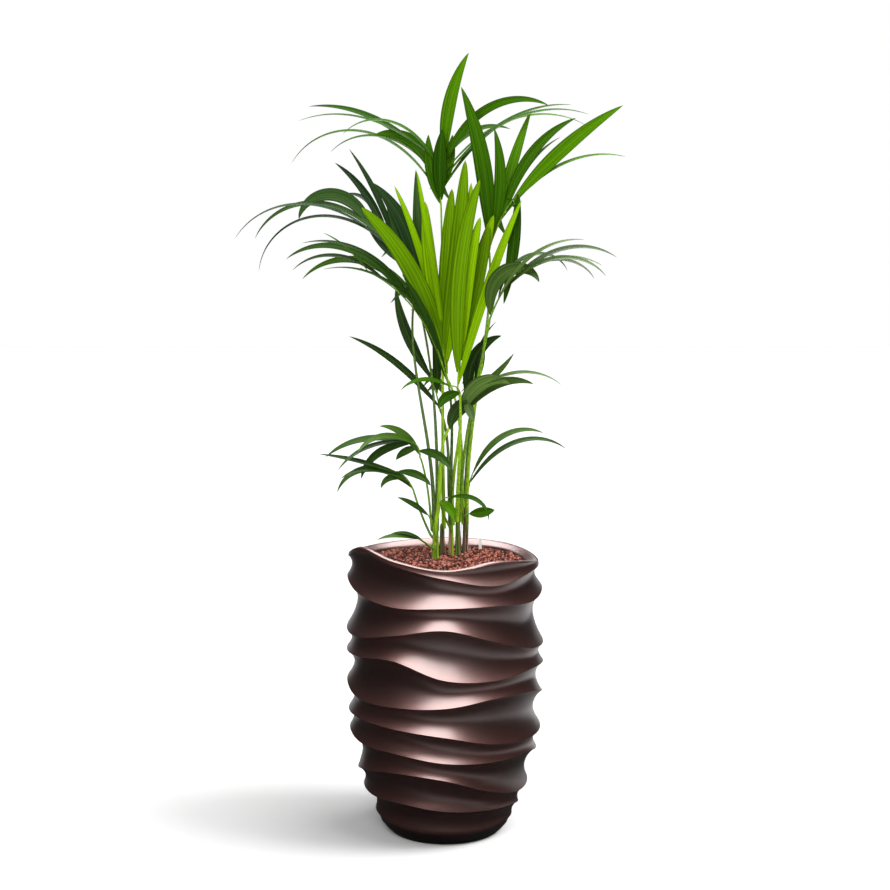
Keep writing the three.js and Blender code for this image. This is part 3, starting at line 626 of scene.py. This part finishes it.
# A curve is (heading, reach, bend): the way it sets out, in degrees from straight up towards +X,
# how far it runs, seen from the front, and how much it turns on the way. rib is the midrib's, and
# a leaflet is (heading, reach, bend, breadth seen from the front), from foot to tip. neck is where
# the midrib starts. stalk holds the headings with which the stalk leaves its stem and meets the
# neck, stands its place round the stem, in degrees from +X, and side its height on the stem, if
# it doesn't rise from the top. lean, toward and fan are degrees towards the front: of the midrib,
# of the leaflets, and how much the leaflets differ. back counts the leaflets on the far side.
FRONDS = [
    dict(name="top", tone="mid", stem="inner", stands=0, neck=(-8, 40, 1247),
         rib=(-5, 98, 22), stalk=(-1, -2), lean=5, toward=0, fan=26, back=3, leaflets=[
            (-18, 136, 20, 25), (-4, 134, 14, 30), (-30, 391, -116, 7), (32, 312, 65, 8),
            (18, 112, -14, 24), (-15, 190, -92, 28), (38, 325, 74, 7), (-35, 268, -98, 7),
            (39, 327, 82, 6), (-24, 243, -114, 7), (-42, 319, -51, 13), (24, 261, 98, 18),
            (-48, 318, -60, 6), (33, 162, 79, 12), (2, 200, 30, 27)]),
    dict(name="right_high", tone="mid", stem="right", stands=20, neck=(86, -20, 1162),
         rib=(18, 122, 27), stalk=(-1, -5), lean=25, toward=8, fan=18, back=3, leaflets=[
            (-3, 302, -20, 34), (11, 201, -28, 24), (13, 238, 9, 22), (36, 272, 70, 7),
            (17, 234, 51, 21), (21, 170, 40, 7), (42, 254, 20, 27), (184, 211, 8, 24)]),
    dict(name="young_left", tone="young", stem="right", stands=200, neck=(4, 22, 909),
         rib=(-9, 104, 7), stalk=(-4, -26), lean=10, toward=10, fan=8, back=0, leaflets=[
            (-12, 369, -37, 33), (11, 357, -8, 20), (-10, 353, -15, 14), (8, 366, -4, 28),
            (-10, 277, 8, 26), (3, 286, 2, 26), (-9, 300, 0, 11)]),
    dict(name="young_right", tone="young", stem="front", stands=0, neck=(25, -14, 890),
         rib=(2, 109, 15), stalk=(-5, -15), lean=8, toward=11, fan=9, back=0, leaflets=[
            (15, 373, 9, 17), (-3, 369, 23, 28), (10, 286, 7, 28), (2, 252, 14, 24),
            (12, 216, 0, 26)]),
    dict(name="left_high", tone="blue", stem="left", stands=150, neck=(-56, 70, 1092),
         rib=(-31, 156, -24), stalk=(1, 14), lean=-25, toward=-14, fan=22, back=3, leaflets=[
            (-32, 436, -141, 7), (-17, 172, -1, 22), (-50, 132, 23, 15), (-18, 244, -18, 13),
            (-39, 363, -114, 12), (-20, 219, -35, 17), (-51, 342, -98, 6), (-2, 138, -103, 11),
            (-25, 211, -146, 28)]),
    dict(name="left_tall", tone="blue", stem="left", stands=30, neck=(-46, 50, 1026),
         rib=(-4, 44, 0), stalk=(1, -12), lean=0, toward=2, fan=10, back=2, leaflets=[
            (-2, 290, -1, 27), (-5, 248, -44, 35)]),
    dict(name="left_mid", tone="dark", stem="front", stands=240, neck=(8, -28, 890),
         rib=(-14, 297, -55), stalk=(-1, -9), lean=18, toward=12, fan=18, back=2, leaflets=[
            (-15, 223, -19, 18), (-18, 303, -86, 6), (-19, 338, -120, 17), (-26, 276, -79, 8),
            (-33, 269, -97, 14), (-47, 204, -88, 8), (-38, 107, -26, 4)]),
    dict(name="right_mid", tone="dull", stem="middle", stands=-10, neck=(87, -60, 1027),
         rib=(20, 116, 36), stalk=(1, 10), lean=22, toward=16, fan=18, back=2, leaflets=[
            (-10, 168, 172, 30), (24, 216, 72, 7), (13, 191, 143, 8), (42, 212, 102, 9),
            (45, 223, 80, 9), (58, 173, 63, 6), (62, 143, 90, 7)]),
    dict(name="back_left", tone="dark", stem="front", stands=90, neck=(-10, 80, 841),
         rib=(-13, 69, -8), stalk=(-6, -22), lean=-15, toward=-24, fan=14, back=4, leaflets=[
            (-41, 239, -31, 15), (5, 96, -24, 18), (-34, 203, 29, 23)]),
    dict(name="centre_low", tone="mid", stem="middle", stands=-120, neck=(29, -80, 882),
         rib=(-11, 29, -110), stalk=(1, -3), lean=30, toward=24, fan=12, back=0, leaflets=[
            (-95, 54, -80, 20), (-63, 100, -74, 8)]),
    dict(name="right_low", tone="dull", stem="left", stands=-90, neck=(31, -38, 834),
         rib=(7, 65, 51), stalk=(13, 61), lean=30, toward=22, fan=18, back=2, leaflets=[
            (33, 165, 80, 21), (15, 124, 108, 30), (61, 84, -37, 4), (152, 40, 16, 18),
            (-133, 74, -50, 25), (55, 114, -23, 12), (53, 172, 77, 6)]),
    dict(name="back_right", tone="dark", stem="far", stands=120, neck=(57, 108, 837),
         rib=(-1, 77, 11), stalk=(1, 9), lean=-20, toward=-26, fan=14, back=4, leaflets=[
            (-13, 178, 92, 30), (24, 106, -30, 10), (8, 119, 40, 5)]),
    dict(name="left_low", tone="deep", stem="left", stands=-140, side=58, neck=(-49, -40, 758),
         rib=(-4, 48, -98), stalk=(-4, -18), lean=20, toward=14, fan=24, back=0, leaflets=[
            (-28, 102, -64, 15), (90, 76, 76, 18), (-101, 51, -49, 15), (-57, 127, -99, 12),
            (-94, 132, -77, 17), (-80, 174, -53, 12), (-88, 140, -56, 8)]),
    dict(name="left_lowest", tone="deep", stem="left", stands=180, side=46, neck=(-63, -30, 691),
         rib=(-24, 50, -37), stalk=(-26, -17), lean=22, toward=20, fan=18, back=0, leaflets=[
            (-45, 176, -119, 14), (-53, 140, -72, 10), (-72, 60, -98, 13), (-66, 162, -13, 8),
            (88, 71, 60, 16)]),
    dict(name="right_side", tone="deep", stem="far", stands=-60, neck=(49, 70, 689),
         rib=(19, 25, 0), stalk=(-1, 17), lean=-10, toward=-12, fan=10, back=0, leaflets=[
            (35, 238, 94, 10), (26, 184, 89, 12)]),
    dict(name="front_small", tone="mid", stem="front", stands=-90, side=52, neck=(-8, -40, 667),
         rib=(28, 20, 82), stalk=(-23, 0), lean=20, toward=26, fan=12, back=0, leaflets=[
            (119, 44, 73, 20), (73, 99, 107, 8)]),
    dict(name="leaf_left", tone="deep", stem="left", stands=-80, side=40, neck=(-28, -40, 633),
         rib=(-30, 10, 0), stalk=(-19, -16), lean=10, toward=12, fan=0, back=0, leaflets=[
            (-50, 71, -20, 10)]),
    dict(name="leaf_right", tone="mid", stem="right", stands=-60, side=44, neck=(42, 36, 630),
         rib=(70, 8, 0), stalk=(-6, -2), lean=0, toward=-8, fan=0, back=0, leaflets=[
            (84, 51, -4, 22)]),
    dict(name="leaf_rim", tone="deep", stem="left", stands=-130, side=22, neck=(-41, -50, 589),
         rib=(-56, 12, 0), stalk=(-61, -40), lean=20, toward=16, fan=10, back=0, leaflets=[
            (-54, 72, -54, 5), (-72, 82, -38, 7)]),
]
FRONT, UP = np.array([0.0, -1.0, 0.0]), np.array([0.0, 0.0, 1.0])


def direction(heading, forward):
    """A heading seen from the front, in degrees from straight up, leaning towards the front."""
    turn, lean = math.radians(heading), math.radians(forward)
    flat = math.cos(lean)
    return np.array([math.sin(turn) * flat, -math.sin(lean), math.cos(turn) * flat])


def stalk_course(frond, fine):
    """The points of a stalk from its stem to the neck of its frond, in fine or in long steps."""
    x, y, height, radius = STEMS[frond["stem"]]
    stands = math.radians(frond["stands"])
    away = np.array([math.cos(stands), math.sin(stands), 0.0])
    side = frond.get("side")
    foot = np.array([x, y, STEM_FOOT + (side or height + CLEARANCE)], float)
    if side:
        flank = STALK_FOOT * math.cos(math.radians(frond["stalk"][0]))
        foot += away * (stem_reach(height, radius, side) + flank + CLEARANCE / 2)
    else:
        foot += away * STEM_RING
    neck = np.array(frond["neck"], float)
    span = np.linalg.norm(neck - foot)
    lean = math.degrees(math.asin((foot[1] - neck[1]) / span))
    out, into = (direction(heading, lean) for heading in frond["stalk"])
    if not side:
        foot[2] += STALK_FOOT * math.hypot(out[0], out[1])
    second, third = foot + out * span * STALK_PULLS[0], neck - into * span * STALK_PULLS[1]
    steps = FINE_STALK_STEPS if fine else STALK_STEPS if span > LONG_STALK else STALK_STEPS // 2
    t = np.linspace(0, 1, steps + 1)[:, None]
    points = (1 - t) ** 3 * foot + 3 * (1 - t) ** 2 * t * second
    points += 3 * (1 - t) * t**2 * third + t**3 * neck
    turning = neck - STALK_TURN * direction(frond["rib"][0], frond["lean"])
    nearest = 1.5 * STALK_TURN if fine else 0
    kept = [point for point in points[:-1] if np.linalg.norm(point - neck) > nearest]
    return np.array([*kept, turning, neck])


def axes(points, i, side=FRONT):
    """At one point of a curve: along it, towards the front or another side, and across both."""
    along = points[min(i + 1, len(points) - 1)] - points[max(i - 1, 0)]
    along = along / np.linalg.norm(along)
    facing = side - along * (along @ side)
    facing /= np.linalg.norm(facing)
    return along, facing, np.cross(along, facing)


def limb_rows(points, radii, section):
    """Rows of places round a limb: its section is a share of the radius at each angle."""
    turns = full_turn(len(section))[:, None]
    rows = []
    for i, (point, radius) in enumerate(zip(points, radii)):
        _, facing, across = axes(points, i)
        reach = radius * np.asarray(section)[:, None]
        rows.append(point + reach * (np.cos(turns) * facing + np.sin(turns) * across))
    return np.array(rows)


stalk_skins = {
    "bright": streaked("stalk_bright", [
        (0.075, 0.17, 0.003), (0.15, 0.29, 0.003), (0.24, 0.42, 0.004), (0.34, 0.50, 0.02)],
        roughness=0.45, across=900, along=22),
    "green": streaked("stalk_green", [
        (0.035, 0.09, 0.004), (0.07, 0.16, 0.005), (0.12, 0.25, 0.006), (0.20, 0.34, 0.02)],
        roughness=0.45, across=900, along=22),
    "dark": streaked("stalk_dark", [
        (0.014, 0.035, 0.004), (0.028, 0.065, 0.005), (0.055, 0.11, 0.007), (0.09, 0.14, 0.02)],
        roughness=0.5, across=900, along=22),
}
BRIGHT_STALKS = ("top", "right_high", "young_left", "young_right", "centre_low", "right_low")
DARK_STALKS = ("left_high", "left_tall", "left_mid", "back_left", "back_right")
CHANNEL_DEPTH, CHANNEL_HALF = 0.2, 1.6
CHANNEL = [  # the stalk's section, hollowed where it faces the front
    1 - CHANNEL_DEPTH * math.exp(-((min(i, STALK_SIDES - i) / CHANNEL_HALF) ** 2))
    for i in range(STALK_SIDES)
]
for frond in FRONDS:
    name = frond["name"]
    points = stalk_course(frond, fine=True)
    foot = points[0]
    if frond.get("side"):
        rooted = [*STEMS[frond["stem"]][:2], foot[2] - ROOTED_AT_SIDE]
    else:
        rooted = [foot[0], foot[1], foot[2] - ROOTED]
    points = np.array([rooted, *points])
    lengths = np.concatenate([[0], np.cumsum(np.linalg.norm(np.diff(points, axis=0), axis=1))])
    radii = STALK_FOOT + (STALK_TIP - STALK_FOOT) * lengths / lengths[-1]
    if not frond.get("side"):
        radii = radii * (1 + SWOLLEN * np.exp(-lengths / SWOLLEN_FOR))
    places = limb_rows(points, radii, CHANNEL)
    stalk = rolled("petiole_" + name, STALK_SIDES, len(points) - 1, places)
    close_up(stalk)
    smooth(stalk, 50)
    skin = "bright" if name in BRIGHT_STALKS else "dark" if name in DARK_STALKS else "green"
    stalk.data.materials.append(stalk_skins[skin])
    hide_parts("stalk_" + frond["name"])
    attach(stalk, "root")


# ---- The fronds: a thin midrib, and on both sides leaflets that are folded lengthwise and drawn
# out to a point. A leaflet keeps clear of the other fronds, and one that finds no room is left out.

RIB_FOOT, RIB_TIP, RIB_SIDES, FINE_STEPS = 1.9, 1.1, 10, 24
LATE_BEND, LEAST_BREADTH, FOLD, APART, MOST_FORWARD = 1.5, 12, 0.12, 8, 82
FIRST_AT, ROW_LENGTH, LONE_AT, FAN_STEP, ROOT_ASIDE = 0.06, 0.88, 0.9, 2.4, 0.4
SWINGS = (0, 6, -6, 12, -12, 18, -18, 24, -24, 30, -30)
BACK = dict(  # the leaflets on a frond's far side, which droop and open in threes
    away=-62, apart=5, heading=12, wider=0.7, reach=110, shorter=0.12, bend=30, breadth=20,
    droop=2.6, lowest=0.45, row=0.5,
)
LEAF_STEPS, LEAF_THICKNESS = 44, 0.5
ACROSS = np.array([-1, -0.66, -0.33, 0, 0.33, 0.66, 1])
PLEATS = np.array([0, 0.35, -0.25, 0, -0.25, 0.35, 0]) * 0.035


def course(start, curve, forward, steps=FINE_STEPS):
    """The points of a midrib or leaflet, which bends most towards its end and may droop."""
    heading, reach, bend = curve[:3]
    droop = curve[5] if len(curve) > 5 else 0
    shares = (np.arange(steps) + 0.5) / steps
    angles = np.radians(heading + bend * shares**LATE_BEND)
    rise = 1 - droop * shares
    back = np.full(steps, -math.tan(math.radians(forward)))
    strides = np.stack([np.sin(angles) * rise, back, np.cos(angles) * rise], -1)
    return np.concatenate([[start], start + np.cumsum(strides * reach / steps, axis=0)])


def outline(s, is_young):
    """Breadth along a leaflet. A young one stays broad nearly to its tip."""
    if is_young:
        return 1.14 * (1 - 0.8 * (1 - s) ** 5) * (1 - s**4) ** 0.6
    return 1.31 * (1 - 0.86 * (1 - s) ** 3) * (1 - s**2.2) ** 0.8


def blade(points, i, leaflet):
    """At one point of a leaflet: the way its face looks, the way across it, and its breadth."""
    heading, _, bend, breadth, is_young, droop = leaflet
    along, facing, across = axes(points, i, UP if droop else FRONT)
    real = max(breadth, LEAST_BREADTH + breadth / 4)
    tilt = math.acos(breadth / real)
    upper = 1 if heading + bend / 2 < 0 else -1
    face = facing * math.cos(tilt) + across * upper * math.sin(tilt)
    return face, np.cross(along, face), real * outline(i / (len(points) - 1), is_young)


def leaflet_samples(points, leaflet):
    """Points all over a leaflet, by which it is kept clear of the others."""
    samples = []
    for i in range(1, FINE_STEPS):
        _, side, width = blade(points, i, leaflet)
        for share in (-0.45, -0.22, 0, 0.22, 0.45):
            samples.append(points[i] + side * share * width)
            samples.append((points[i] + points[i + 1]) / 2 + side * share * width)
    return samples


taken = {}


def occupy(points, owner):
    for point in points:
        cell = tuple(np.floor(point / APART).astype(int))
        taken.setdefault(cell, []).append((point, owner))


def crowded(points, owner):
    for point in points:
        x, y, z = np.floor(point / APART).astype(int)
        for i in (-1, 0, 1):
            for j in (-1, 0, 1):
                for k in (-1, 0, 1):
                    for other, name in taken.get((x + i, y + j, z + k), ()):
                        if name != owner and math.dist(other, point) < APART:
                            return True
    return False


def leaflets_of(frond):
    """(leaflet, share along the midrib, degrees towards the front), from foot to tip."""
    last = len(frond["leaflets"]) - 1
    is_young = frond["tone"] == "young"
    leaflets = []
    for i, leaflet in enumerate(frond["leaflets"]):
        share = FIRST_AT + ROW_LENGTH * i / last if last else LONE_AT
        forward = frond["toward"] + frond["fan"] * math.sin(FAN_STEP * i)
        leaflets.append(((*leaflet, is_young, 0), share, forward))
    for i in range(frond["back"]):
        turn, third = (1 if i % 2 else -1), i % 3
        opened = BACK["heading"] * (1 + BACK["wider"] * third)
        reach = BACK["reach"] * (1 - BACK["shorter"] * third)
        leaflet = (turn * opened, reach, turn * BACK["bend"], BACK["breadth"], False, BACK["droop"])
        share = BACK["lowest"] + BACK["row"] * i / frond["back"]
        leaflets.append((leaflet, share, BACK["away"] + BACK["apart"] * third))
    return leaflets


def along_rib(points, share):
    at = min(share * (len(points) - 1), len(points) - 1.001)
    return points[int(at)] + (points[int(at) + 1] - points[int(at)]) * (at % 1)


ring = 2 * len(ACROSS) - 2
leaf_faces = [tuple(reversed(range(ring)))]
leaf_faces += [
    (i * ring + k, i * ring + (k + 1) % ring, (i + 1) * ring + (k + 1) % ring, (i + 1) * ring + k)
    for i in range(LEAF_STEPS - 1) for k in range(ring)
]
tip = LEAF_STEPS * ring
leaf_faces += [(tip - ring + k, tip - ring + (k + 1) % ring, tip) for k in range(ring)]
is_under = [True] + [k >= len(ACROSS) - 1 for i in range(LEAF_STEPS) for k in range(ring)]


def leaf_points(points, leaflet):
    """A leaflet's upper face from edge to edge, then its underside back, ring by ring."""
    rows, places = [], []
    across = (ACROSS + 1) / 2
    for i in range(LEAF_STEPS):
        face, side, width = blade(points, i, leaflet)
        lift = FOLD * width * np.abs(ACROSS) + PLEATS * width
        body = LEAF_THICKNESS / 2 * (1 - np.abs(ACROSS) ** 6)
        middle = points[i] + np.outer(ACROSS * width / 2, side)
        upper = middle + np.outer(lift + body, face)
        under = middle + np.outer(lift - body, face)
        rows += [upper, under[-2:0:-1]]
        places += [(u, i / LEAF_STEPS) for u in (*across, *across[-2:0:-1])]
    return np.concatenate([*rows, points[-1:]]), [*places, (0.5, 1.0)]


def leaf_skin(name, color, roughness, gloss, vein, vein_share):
    """A leaf's skin: lengthwise bands and fine veins, a paler midrib, a darker margin."""
    finish = {"Roughness": roughness, "Specular IOR Level": gloss}
    skin, tree, shader = new_material(name, finish)
    own = node(tree, "UVMap", uv_map="leaf").outputs["UV"]
    lines = []
    for across, along, detail in ((34, 1.2, 4), (9, 0.7, 1)):
        stretch = node(tree, "Mapping", {"Vector": own, "Scale": (across, along, 1)})
        fine = {"Vector": stretch.outputs["Vector"], "Scale": 1, "Detail": detail}
        lines.append(node(tree, "TexNoise", fine).outputs["Fac"])
    veined = mean_of(tree, *lines)
    dark, pale = ([share * c for c in color] for share in (0.5, 1.5))
    painted = dyed(tree, veined, [(0.38, dark), (0.62, pale)])
    x = node(tree, "SeparateXYZ", {"Vector": own}).outputs["X"]
    off = node(tree, "Math", {0: x, 1: 0.5}, operation="SUBTRACT").outputs["Value"]
    from_middle = node(tree, "Math", {0: off}, operation="ABSOLUTE").outputs["Value"]
    midrib = ranged(tree, from_middle, vein_share, 0.0, end=0.03)
    margin = ranged(tree, from_middle, 0.0, 0.75, start=0.34, end=0.5)
    for share, shade in ((midrib, vein), (margin, [0.35 * c for c in color])):
        sockets = {"Factor": share, "A": painted, "B": (*shade, 1)}
        painted = node(tree, "Mix", sockets, data_type="RGBA").outputs["Result"]
    relief = embossed(tree, veined, 0.3, 0.0006)
    wire(tree, shader, {"Base Color": painted, "Normal": relief})
    return skin


TONES = {  # the upper face in its own colour, a paler copy as painted light and a darker copy as painted shade, then the underside
    "mid": [
        (0.027, 0.090, 0.001), (0.052, 0.152, 0.001), (0.015, 0.055, 0.001), (0.036, 0.092, 0.007)],
    "young": [
        (0.088, 0.190, 0.001), (0.150, 0.300, 0.001), (0.055, 0.135, 0.001), (0.12, 0.25, 0.004)],
    "blue": [
        (0.015, 0.038, 0.011), (0.028, 0.066, 0.014), (0.008, 0.023, 0.006), (0.070, 0.13, 0.035)],
    "dark": [
        (0.014, 0.040, 0.004), (0.028, 0.072, 0.005), (0.008, 0.024, 0.002), (0.040, 0.075, 0.016)],
    "dull": [
        (0.034, 0.072, 0.009), (0.066, 0.120, 0.022), (0.020, 0.046, 0.006), (0.14, 0.20, 0.070)],
    "deep": [
        (0.021, 0.058, 0.005), (0.040, 0.095, 0.009), (0.011, 0.036, 0.003), (0.085, 0.145, 0.035)],
}
GLOSSES = {"dull": 0.08, "deep": 0.05, "blue": 0.02}
GLOSS, FACE_ROUGHNESS, UNDER_ROUGHNESS, UNDERSIDE = 0.015, 0.42, 0.6, 3
PAINTED_LIGHT_TINTS = {  # which copy each leaflet of a frond takes, 0 its own colour, 1 painted light, 2 painted shade, from foot to tip and over again
    "back_left": "2",
    "right_low": "0100201",
    "top": "020010001020201",
    "right_high": "00110012222",
    "young_left": "0110101",
    "young_right": "10110",
}
ANY_PAINTED_LIGHT_TINTS = "0120210"
leaf_skins = {}
for tone, colors in TONES.items():
    vein = [0.6 * a + 0.4 * b for a, b in zip(colors[1], (0.20, 0.30, 0.03))]
    vein_share = 0.1 if tone == "young" else 0.35
    leaf_skins[tone] = []
    for i, color in enumerate(colors):
        roughness = UNDER_ROUGHNESS if i == UNDERSIDE else FACE_ROUGHNESS
        leaf_skins[tone].append(leaf_skin(
            f"leaf_{tone}_{i}", color, roughness, GLOSSES.get(tone, GLOSS), vein, vein_share))

# The stalks and midribs take their space first, point by point.
POINTS_APART = 6
ribs = {}
for frond in FRONDS:
    name = frond["name"]
    line = stalk_course(frond, fine=False)
    start = frond["neck"] + CLEARANCE * direction(frond["rib"][0], frond["lean"])
    ribs[name] = course(start, frond["rib"], frond["lean"])
    for near_end, far_end in zip(line, line[1:]):
        pieces = math.ceil(np.linalg.norm(far_end - near_end) / POINTS_APART)
        occupy([near_end + (far_end - near_end) * k / pieces for k in range(pieces)], name)
    occupy(ribs[name], name)

for number, frond in enumerate(FRONDS):
    name, rib = frond["name"], ribs[frond["name"]]
    radii = np.linspace(RIB_FOOT, RIB_TIP, FINE_STEPS + 1)
    places = limb_rows(rib, radii, [1] * RIB_SIDES)
    midrib = rolled("midrib_" + name, RIB_SIDES, FINE_STEPS, places)
    close_up(midrib)
    smooth(midrib, 50)
    midrib.data.materials.append(stalk_skins["bright" if frond["tone"] == "young" else "green"])
    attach(midrib, "root")

    points, faces, skins, places = [], [], [], []
    # Leaflet by leaflet, a frond's colour is dealt out in painted lit and shaded copies of its
    # tone.
    tints_and_painted_light = PAINTED_LIGHT_TINTS.get(name, ANY_PAINTED_LIGHT_TINTS[number % len(ANY_PAINTED_LIGHT_TINTS):] + ANY_PAINTED_LIGHT_TINTS)
    base = 0
    for count, (leaflet, share, forward) in enumerate(leaflets_of(frond)):
        foot = along_rib(rib, share)
        foot[0] += (-ROOT_ASIDE if leaflet[0] < frond["rib"][0] else ROOT_ASIDE) * RIB_FOOT
        for swing in SWINGS:
            aim = min(max(forward + swing, -MOST_FORWARD), MOST_FORWARD)
            samples = leaflet_samples(course(foot, leaflet, aim), leaflet)
            if crowded(samples, name):
                continue
            occupy(samples, name)
            spots, own = leaf_points(course(foot, leaflet, aim, LEAF_STEPS), leaflet)
            painted_light_tint = int(tints_and_painted_light[count % len(tints_and_painted_light)])
            points.append(spots)
            places += own
            faces += [tuple(base + corner for corner in face) for face in leaf_faces]
            skins += [UNDERSIDE if under else painted_light_tint for under in is_under]
            base += len(spots)
            break
    mesh = bpy.data.meshes.new("leaflets_" + name)
    mesh.from_pydata(np.concatenate(points) * MM, [], faces)
    mesh.polygons.foreach_set("material_index", np.array(skins, np.int32))
    uv = mesh.uv_layers.new(name="leaf")
    corners = np.zeros(len(mesh.loops), np.int32)
    mesh.loops.foreach_get("vertex_index", corners)
    uv.data.foreach_set("uv", np.array(places, np.float32)[corners].ravel())
    leaves = bpy.data.objects.new("leaflets_" + name, mesh)
    bpy.context.scene.collection.objects.link(leaves)
    for skin in leaf_skins[frond["tone"]]:
        mesh.materials.append(skin)
    smooth(leaves, 24)
    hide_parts("frond_" + name)
    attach(leaves, "root")
